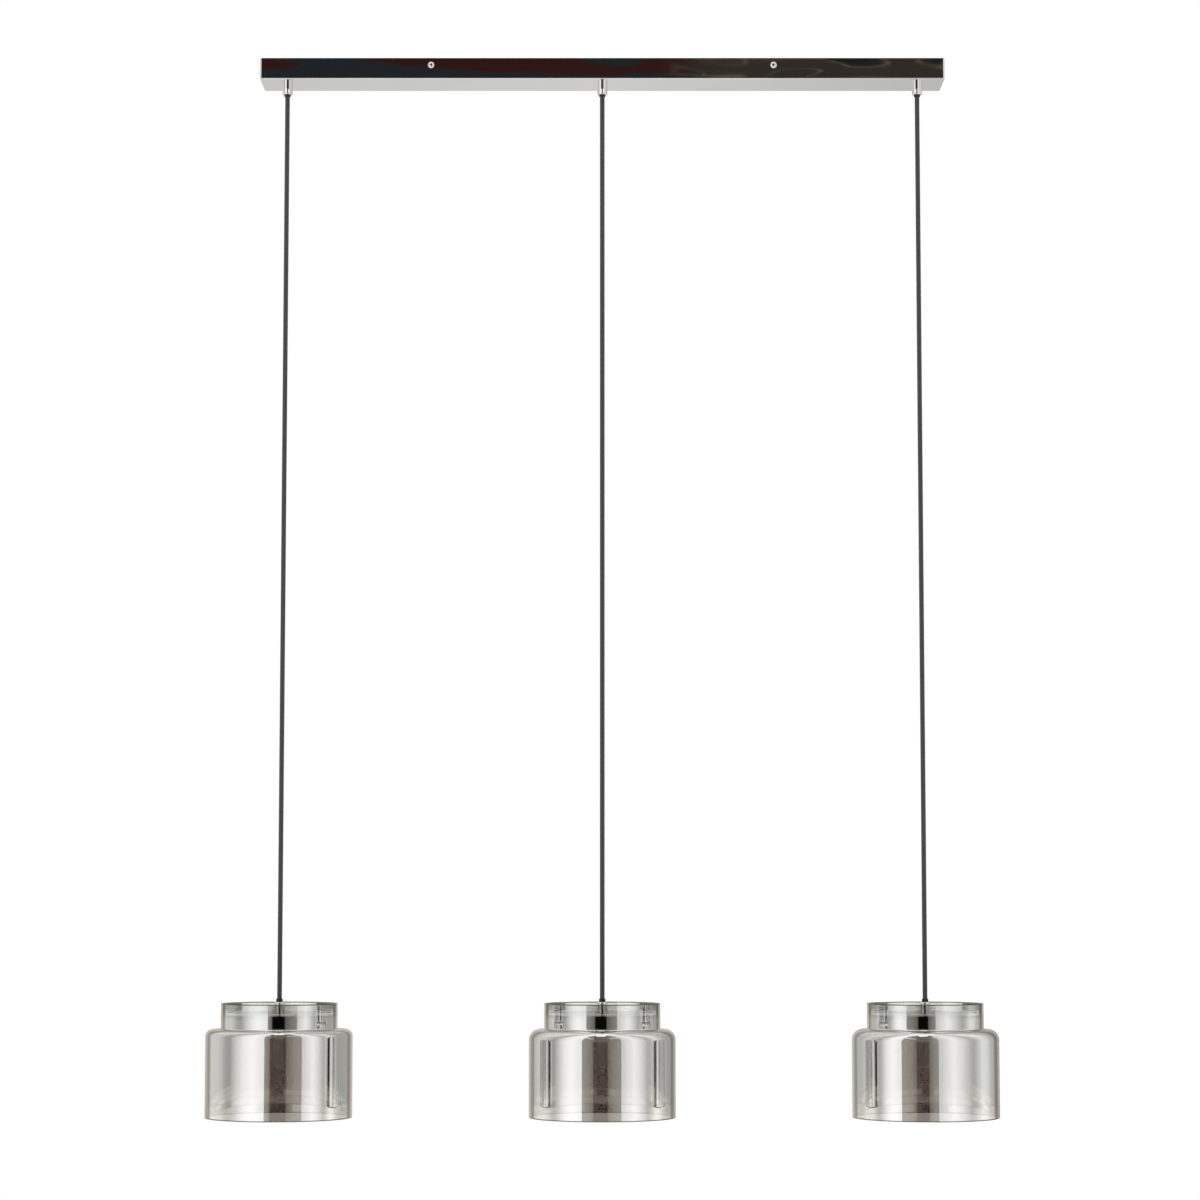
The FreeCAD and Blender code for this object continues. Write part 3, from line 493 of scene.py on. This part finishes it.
def turned(name, outline, axis, materials, skins, segments=160):
    """The closed outline, a list of (radius, height), turned round the vertical line through axis.

    skins gives each outline edge's material number.
    """
    corners = []
    for radius, height in outline:
        for segment in range(segments):
            angle = TURN * segment / segments
            corners.append((
                axis[0] + radius * math.cos(angle),
                axis[1] + radius * math.sin(angle),
                axis[2] + height,
            ))
    faces = []
    numbers = []
    for row in range(len(outline)):
        after = (row + 1) % len(outline)
        for segment in range(segments):
            beside = (segment + 1) % segments
            faces.append((
                row * segments + segment,
                row * segments + beside,
                after * segments + beside,
                after * segments + segment,
            ))
            numbers.append(skins[row])
    made = add_mesh(name, corners, faces, materials)
    made.data.polygons.foreach_set("material_index", numbers)
    return made


# ---------------------------------------------------------------- cords

CORD_RADIUS = 0.00275
CORD_SIDES = 32
# How long the bend at the side hinge is, and the stretch of cord that holds it.
SIDE_BEND = 0.012
SIDE_STRETCH = 0.0336


def smooth_route(points):
    """The points of the smooth line that has these as its control points."""
    curve = bpy.data.curves.new("route", "CURVE")
    curve.dimensions = "3D"
    curve.resolution_u = 24
    spline = curve.splines.new("NURBS")
    spline.points.add(len(points) - 1)
    for point, place in zip(spline.points, points):
        point.co = (*place, 1)
    spline.order_u = 3
    spline.use_endpoint_u = True
    holder = bpy.data.objects.new("route", curve)
    bpy.context.scene.collection.objects.link(holder)
    line = bpy.data.meshes.new_from_object(holder)
    found = [vertex.co.copy() for vertex in line.vertices]
    bpy.data.objects.remove(holder)
    bpy.data.curves.remove(curve)
    bpy.data.meshes.remove(line)
    return found


def straight_cord(name, x, high, low, material, start):
    """A taut stretch of cord from one height down to another, which begins at start along the whole cord."""
    route = smooth_route([(x, 0, high), (x, 0, (high + low) / 2), (x, 0, low)])
    corners = []
    for point in route:
        for side in range(CORD_SIDES):
            angle = TURN * side / CORD_SIDES
            corners.append((
                point.x + CORD_RADIUS * math.cos(angle),
                point.y + CORD_RADIUS * math.sin(angle),
                point.z,
            ))
    faces = []
    turns = []
    for row in range(len(route) - 1):
        for side in range(CORD_SIDES):
            beside = (side + 1) % CORD_SIDES
            here, there = row * CORD_SIDES, (row + 1) * CORD_SIDES
            faces.append((here + side, there + side, there + beside, here + beside))
            upper = start + high - route[row].z
            lower = start + high - route[row + 1].z
            first, second = side / CORD_SIDES, (side + 1) / CORD_SIDES
            turns += [(first, upper), (first, lower), (second, lower), (second, upper)]
    faces.append(tuple(range(CORD_SIDES)))
    last = (len(route) - 1) * CORD_SIDES
    faces.append(tuple(last + side for side in reversed(range(CORD_SIDES))))
    turns += [(0.0, 0.0)] * (2 * CORD_SIDES)
    made = add_mesh(name, corners, faces, [material])
    sleeve = made.data.uv_layers.new(name="sleeve")
    sleeve.data.foreach_set("uv", [number for pair in turns for number in pair])
    return made, route


def joint(name):
    return [found for found in frame["joints"] if found["name"] == name][0]


def add_cords(material):
    """The three free cords, each in three stretches: the bend at the grip, the side bend and the long run.

    Each bend has its hinge at its middle. The two bends are fixed in place and only the long run rides on its
    body.
    """
    for side in SIDES:
        x = middle("cord_bend_" + side).x
        mouth = bottom("ceiling_collet_" + side)
        sway = joint("sway_" + side)["pos_m"][2]
        above = sway + SIDE_BEND / 2
        below = above - SIDE_STRETCH
        end = top("lower_collet_" + side)
        stretches = (
            ("cord_front_bend_", mouth, above, ("cord_bend_",)),
            ("cord_side_bend_", above, below, ("cord_bend_", "pendant_cord_")),
            ("cord_run_", below, end, ("pendant_cord_",)),
        )
        for stem, high, low, stands_for in stretches:
            piece, route = straight_cord(stem + side, x, high, low, material, mouth - high)
            for replaced in stands_for:
                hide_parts(replaced + side)
            if stem == "cord_front_bend_":
                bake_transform(piece)
            elif stem == "cord_side_bend_":
                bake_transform(piece)
            else:
                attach(piece, "cord_" + side)
                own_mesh(piece)
            [tuple(point) for point in route]


# ---------------------------------------------------------------- glass

GLASS_WALL = 0.0024
NECK_RADIUS = 0.0665
NECK_HEIGHT = 0.0295
COLLAR_FOOT = 0.002
RECESS_FOOT = 0.0008
HOLE_RADIUS = 0.013
FILM, INSIDE, EDGE = 0, 1, 2
SHOULDERS = {"left": 0.008, "centre": 0.012, "right": 0.012}
RIM_STEPS = 12
FOOT_STEPS = 8
RECESS_STEPS = 4
SHOULDER_STEPS = 24


def add_shade(side, film, inside, edge):
    """A blown shade, with the film on its outer face from the collar's rim down to the open edge."""
    low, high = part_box("glass_shade_" + side)
    body_radius = (high[0] - low[0]) / 2
    shoulder = SHOULDERS[side]
    face = high[2] - NECK_HEIGHT
    foot = low[2] - face
    half = GLASS_WALL / 2
    bend = body_radius - shoulder
    neck_inner = NECK_RADIUS - GLASS_WALL
    recess = neck_inner - RECESS_FOOT
    collar_rim = arc((neck_inner + half, NECK_HEIGHT - half), half, 180, 0, RIM_STEPS)
    open_rim = arc((body_radius - half, foot + half), half, 0, -180, RIM_STEPS)
    stretches = (
        (INSIDE, [(HOLE_RADIUS, -GLASS_WALL), (HOLE_RADIUS, 0)]),
        (INSIDE, arc((recess, RECESS_FOOT), RECESS_FOOT, 270, 360, RECESS_STEPS)),
        (EDGE, collar_rim[:-1]),
        (FILM, collar_rim[-1:]),
        (FILM, arc((NECK_RADIUS + COLLAR_FOOT, COLLAR_FOOT), COLLAR_FOOT, 180, 270, FOOT_STEPS)),
        (FILM, arc((bend, -shoulder), shoulder, 90, 0, SHOULDER_STEPS)),
        (EDGE, open_rim[:-1]),
        (INSIDE, open_rim[-1:]),
        (INSIDE, arc((bend, -shoulder), shoulder - GLASS_WALL, 0, 90, SHOULDER_STEPS)),
    )
    outline, skins = held(stretches)
    axis = (middle("glass_shade_" + side).x, 0, face)
    shade = turned("shade_" + side, outline, axis, [film, inside, edge], skins)
    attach(shade, "pendant_" + side)
    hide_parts("glass_shade_" + side)


# ---------------------------------------------------------------- studio

FLOOR_LEVEL = -2.3
FLOOR_RADIUS = 7.5
FLOOR_SIDES = 96
# Where the floor begins to fade to white and where it is white, as shares of its radius.
FLOOR_FADE = (0.45, 0.95)
ROOM_RADIUS = 1.4
ROOM_TOP = 6.0
DARK_TOP = -0.87
# The gap in the round room, in degrees from straight ahead, and where its walls end on the floor plan.
GAP = {"left": -31, "right": 29}
WALL_ENDS = {"left": (-0.86, -3.5), "right": (0.36, -2.5)}
# A narrow slanting slot in each wall lets bright light on the ceiling grips: the heights of its lower edge
# and of its upper edge, each at the wall's near and far end.
SLOTS = {"left": ((0.24, 0.84), (0.46, 1.00)), "right": ((0.24, 0.58), (0.46, 0.72))}
WALL_NEAR = (0.27, 0.27, 0.255)
WALL_FAR = (0.10, 0.097, 0.075)
DARK = (0.003, 0.003, 0.003)
# A small light on its arm, to the right of the gap: corners (x, z).
LIGHT_ON_ARM = (
    (0.67, -1.1895), (0.90, -1.191), (0.94, -1.197), (1.14, -1.199), (1.14, -1.184), (0.67, -1.187),
)
LIGHT_TONE = (0.10, 0.09, 0.07)
# What mirrors show of the round room: degrees from straight ahead, below 0 to the left, and its brightness.
ROUND_TONES = (
    (-180, 0.66), (-134, 0.58), (-124, 0.66), (-112, 0.78), (-98, 0.76), (-91, 0.64), (-85, 0.47),
    (-79, 0.42), (-74, 0.51), (-67, 0.74), (-60, 0.96), (-53, 1.07), (-47, 1.14), (-41, 1.06), (-34, 0.98),
    (32, 0.68), (37, 0.80), (43, 0.88), (50, 1.02), (59, 0.85), (67, 0.65), (74, 0.46), (79, 0.56),
    (85, 0.75), (90, 0.95), (98, 0.90), (108, 0.60), (122, 0.44), (150, 0.48), (165, 0.58), (180, 0.66),
)
NEAR_TINT = (1.0, 1.01, 1.0)
FAR_TINT = (1.02, 1.0, 0.95)
FAR_FROM = 70


def reflected_only(made):
    """A piece of the studio that shows in mirrors and nowhere else."""
    made.visible_camera = False
    made.visible_diffuse = False
    made.visible_shadow = False
    made.visible_transmission = False


def card(name, corners, tone, far_tone=None):
    """A flat card that shows in mirrors. Its tone may change along Y, from its first to its second corner."""
    material, tree, output = new_tree(name)
    shown = coloured(tone)
    if far_tone is not None:
        along = node(tree, "SeparateXYZ", {0: node(tree, "TexCoord").outputs["Object"]}).outputs[1]
        away = ranged(tree, along, corners[0][1], corners[1][1], 0, 1)
        shown = blended(tree, away, coloured(tone), coloured(far_tone))
    glow = node(tree, "Emission", {"Color": shown, "Strength": 1.0})
    tree.links.new(glow.outputs[0], output.inputs["Surface"])
    reflected_only(add_mesh(name, corners, [tuple(range(len(corners)))], [material]))


def upright(start, end, lows, highs):
    """The corners of an upright card between two places on the floor plan, with its heights at each."""
    return [(*start, lows[0]), (*end, lows[1]), (*end, highs[1]), (*start, highs[0])]


def round_place(degrees):
    """The place on the floor plan at the round room's wall, degrees to the right of straight ahead."""
    return ROOM_RADIUS * math.sin(math.radians(degrees)), -ROOM_RADIUS * math.cos(math.radians(degrees))


def add_cards():
    """What the photograph's mirrors show in front: the dim room behind the camera, seen through a gap."""
    for side, degrees in GAP.items():
        mouth = round_place(degrees)
        end = WALL_ENDS[side]
        slot_low, slot_high = SLOTS[side]
        low = upright(mouth, end, (FLOOR_LEVEL,) * 2, slot_low)
        high = upright(mouth, end, slot_high, (ROOM_TOP,) * 2)
        card("room_wall_low_" + side, low, WALL_NEAR, WALL_FAR)
        card("room_wall_high_" + side, high, WALL_NEAR, WALL_FAR)
    left = WALL_ENDS["left"]
    right = (-left[0], left[1])
    card("room_end_dark", upright(left, right, (FLOOR_LEVEL,) * 2, (DARK_TOP,) * 2), DARK)
    card("room_end_grey", upright(left, right, (DARK_TOP,) * 2, (ROOM_TOP,) * 2), WALL_FAR)
    depth = round_place(GAP["right"])[1]
    card("light_on_arm", [(x, depth, z) for x, z in LIGHT_ON_ARM], LIGHT_TONE)


def add_round_room(steps=120):
    """A round wall near the lamp, open in front, whose soft bright and dim parts show in the mirrors."""
    material, tree, output = new_tree("round_room")
    axes = node(tree, "SeparateXYZ", {0: node(tree, "TexCoord").outputs["Object"]})
    ahead = math_node(tree, "MULTIPLY", axes.outputs[1], -1.0)
    bearing = math_node(tree, "ARCTAN2", axes.outputs[0], ahead)
    ramp = node(tree, "ValToRGB", {0: ranged(tree, bearing, -math.pi, math.pi, 0, 1)})
    stops = ramp.color_ramp.elements
    while len(stops) < len(ROUND_TONES):
        stops.new(1.0)
    for stop, (degrees, tone) in zip(stops, ROUND_TONES):
        tint = NEAR_TINT if abs(degrees) < FAR_FROM else FAR_TINT
        stop.position = (degrees + 180) / 360
        stop.color = coloured([tone * part for part in tint])
    glow = node(tree, "Emission", {"Color": ramp.outputs[0], "Strength": 1.0})
    tree.links.new(glow.outputs[0], output.inputs["Surface"])
    turn = 360 + GAP["left"] - GAP["right"]
    places = [round_place(GAP["right"] + turn * step / steps) for step in range(steps + 1)]
    corners = [(*place, height) for height in (FLOOR_LEVEL, ROOM_TOP) for place in places]
    row = steps + 1
    faces = [(step, step + 1, row + step + 1, row + step) for step in range(steps)]
    reflected_only(add_mesh("round_room", corners, faces, [material]))


DRAPES_HALF = 0.79
DRAPES_DEPTH = -3.3
DRAPES_LOW = 0.6
DRAPES_HIGH = 1.15
MAROON = (0.032, 0.010, 0.009)
SLATE = (0.016, 0.020, 0.022)
UMBER = (0.034, 0.027, 0.022)
SOOT = (0.014, 0.013, 0.013)
OLIVE = (0.125, 0.108, 0.075)
# The swirls are long and low, and each is where a noise has a certain level.
SWIRL_STRETCH = (1.0, 1.0, 6.0)
MAROON_EDGE = (0.500, 0.504)
UMBER_EDGE = (0.470, 0.473)
RIM_LEVEL = 0.487
RIM_EDGE = (0.008, 0.016)
STREAK_LEVEL = 0.42
STREAK_EDGE = (0.010, 0.013)
# From where to where, along X, the right cloth begins and the streaks of each end come and go.
RIGHT_CLOTH = (0.12, 0.24)
LEFT_STREAKS = (-0.70, -0.62)
RIGHT_STREAKS = (0.1, 0.3)


def distance_from(tree, given, level):
    return math_node(tree, "ABSOLUTE", math_node(tree, "SUBTRACT", given, level))


def add_drapes():
    """Dark drapes above the camera, with the swirls that the bar's front shows: wine red, then umber."""
    material, tree, output = new_tree("drapes")
    place = node(tree, "TexCoord").outputs["Object"]
    across = node(tree, "SeparateXYZ", {0: place}).outputs[0]
    flowing = node(tree, "Mapping", {"Vector": place, "Scale": SWIRL_STRETCH}).outputs[0]
    swirls = node(tree, "TexNoise", {"Vector": flowing, "Scale": 4.2, "Detail": 0.0, "Distortion": 0.5})
    streaks = node(tree, "TexNoise", {"Vector": flowing, "Scale": 2.3, "Detail": 0.0, "Distortion": 1.4})
    swirl = swirls.outputs["Fac"]
    left = blended(tree, ranged(tree, swirl, *MAROON_EDGE, 0, 1), coloured(SLATE), coloured(MAROON))
    right = blended(tree, ranged(tree, swirl, *UMBER_EDGE, 0, 1), coloured(SOOT), coloured(UMBER))
    rim = ranged(tree, distance_from(tree, swirl, RIM_LEVEL), *RIM_EDGE, 0.7, 0)
    rimmed = blended(tree, rim, right, coloured(OLIVE))
    cloth = blended(tree, ranged(tree, across, *RIGHT_CLOTH, 0, 1), left, rimmed)
    off_level = distance_from(tree, streaks.outputs["Fac"], STREAK_LEVEL)
    streak = ranged(tree, off_level, *STREAK_EDGE, 1, 0)
    left_end = ranged(tree, across, *LEFT_STREAKS, 0.9, 0)
    ends = math_node(tree, "ADD", left_end, ranged(tree, across, *RIGHT_STREAKS, 0, 0.5))
    tone = blended(tree, math_node(tree, "MULTIPLY", streak, ends), cloth, coloured(OLIVE))
    glow = node(tree, "Emission", {"Color": tone, "Strength": 1.0})
    tree.links.new(glow.outputs[0], output.inputs["Surface"])
    start = (-DRAPES_HALF, DRAPES_DEPTH)
    end = (DRAPES_HALF, DRAPES_DEPTH)
    corners = upright(start, end, (DRAPES_LOW,) * 2, (DRAPES_HIGH,) * 2)
    reflected_only(add_mesh("drapes", corners, [(0, 1, 2, 3)], [material]))


def add_floor():
    """A plain pale floor, well below the hanging lamp. It keeps the soft shadow."""
    material, tree, output = new_tree("pale_floor")
    place = node(tree, "TexCoord").outputs["Object"]
    mottle = noise(tree, place, 3, 4)
    colour = blended(tree, mottle, coloured((0.90, 0.90, 0.895)), coloured((0.93, 0.93, 0.925)))
    shader = node(tree, "BsdfPrincipled", {"Base Color": colour, "Roughness": 0.8, "Specular IOR Level": 0.1})
    away = node(tree, "VectorMath", {0: place}, operation="LENGTH").outputs["Value"]
    fade_start, fade_end = (FLOOR_RADIUS * share for share in FLOOR_FADE)
    rim = ranged(tree, away, fade_start, fade_end, 0, 1)
    glow = node(tree, "Emission", {"Color": grey(1), "Strength": 1.0})
    mix = node(tree, "MixShader", {0: rim, 1: shader.outputs[0], 2: glow.outputs[0]})
    tree.links.new(mix.outputs[0], output.inputs["Surface"])
    corners = []
    for step in range(FLOOR_SIDES):
        angle = TURN * step / FLOOR_SIDES
        corners.append((FLOOR_RADIUS * math.cos(angle), FLOOR_RADIUS * math.sin(angle), 0))
    floor = add_mesh("floor", corners, [tuple(range(FLOOR_SIDES))], [material])
    floor.location.z = FLOOR_LEVEL


AMBIENT = 0.72
ABOVE = 1.15


def add_world():
    """White to the camera and through glass, even soft light on the object, bright above the round room."""
    world = bpy.data.worlds.new("studio")
    bpy.context.scene.world = world
    world.use_nodes = True
    tree = world.node_tree
    tree.nodes.clear()
    output = node(tree, "OutputWorld")
    path = node(tree, "LightPath")
    lit = blended(tree, path.outputs["Is Glossy Ray"], grey(AMBIENT), grey(ABOVE))
    seen = math_node(tree, "MAXIMUM", path.outputs["Is Camera Ray"], path.outputs["Is Transmission Ray"])
    shown = blended(tree, seen, lit, grey(1))
    background = node(tree, "Background", {"Color": shown, "Strength": 1.0})
    tree.links.new(background.outputs[0], output.inputs["Surface"])


LAMP_SIZE = 2.4
# The two soft lamps: place and power.
LAMPS = {"key": ((-2.2, -3.0, 1.6), 40), "fill": ((2.8, 1.6, 1.8), 22)}


def add_lamp(name, place, power):
    """A large soft lamp that faces the middle of the object and doesn't show in mirrors."""
    data = bpy.data.lights.new(name, "AREA")
    data.shape = "SQUARE"
    data.size = LAMP_SIZE
    data.energy = power
    lamp = bpy.data.objects.new(name, data)
    lamp.location = place
    target = (Vector(cad_low) + Vector(cad_high)) / 2
    lamp.rotation_euler = (target - Vector(place)).to_track_quat("-Z", "Y").to_euler()
    lamp.visible_glossy = False
    lamp.visible_camera = False
    bpy.context.scene.collection.objects.link(lamp)


def add_studio():
    add_world()
    add_floor()
    add_round_room()
    add_cards()
    add_drapes()
    for name, (place, power) in LAMPS.items():
        add_lamp(name, place, power)


# ---------------------------------------------------------------- the whole

DRESS = {
    "polished_chrome": chrome,
    "black_plastic": black_plastic,
    "zinc_steel": zinc_steel,
    "brass": brass,
    "white_plastic": white_plastic,
    "holder_ceramic": ceramic,
    "clear_rubber": silicone,
    "earth_insulation": earth_insulation,
    "lamp_glass": frosted_glass,
    "cord_braid": lead_braid,
    "smoked_mirror_glass": mirror_film,
}


def dress_nodes():
    """Every CAD node gets the detailed material of its slot. The materials by slot are returned."""
    materials = {slot: build() for slot, build in DRESS.items()}
    for carried in frame["nodes"].values():
        for slot in carried.material_slots:
            stem = slot.material.name.split(".")[0]
            slot.material = materials[stem]
    return materials


bpy.context.scene.view_settings.view_transform = "Standard"
add_camera()
add_cords(cord_braid())
materials = dress_nodes()
skin = clear_skin()
edge = glass_edge()
for side in SIDES:
    add_shade(side, materials["smoked_mirror_glass"], skin, edge)
add_studio()
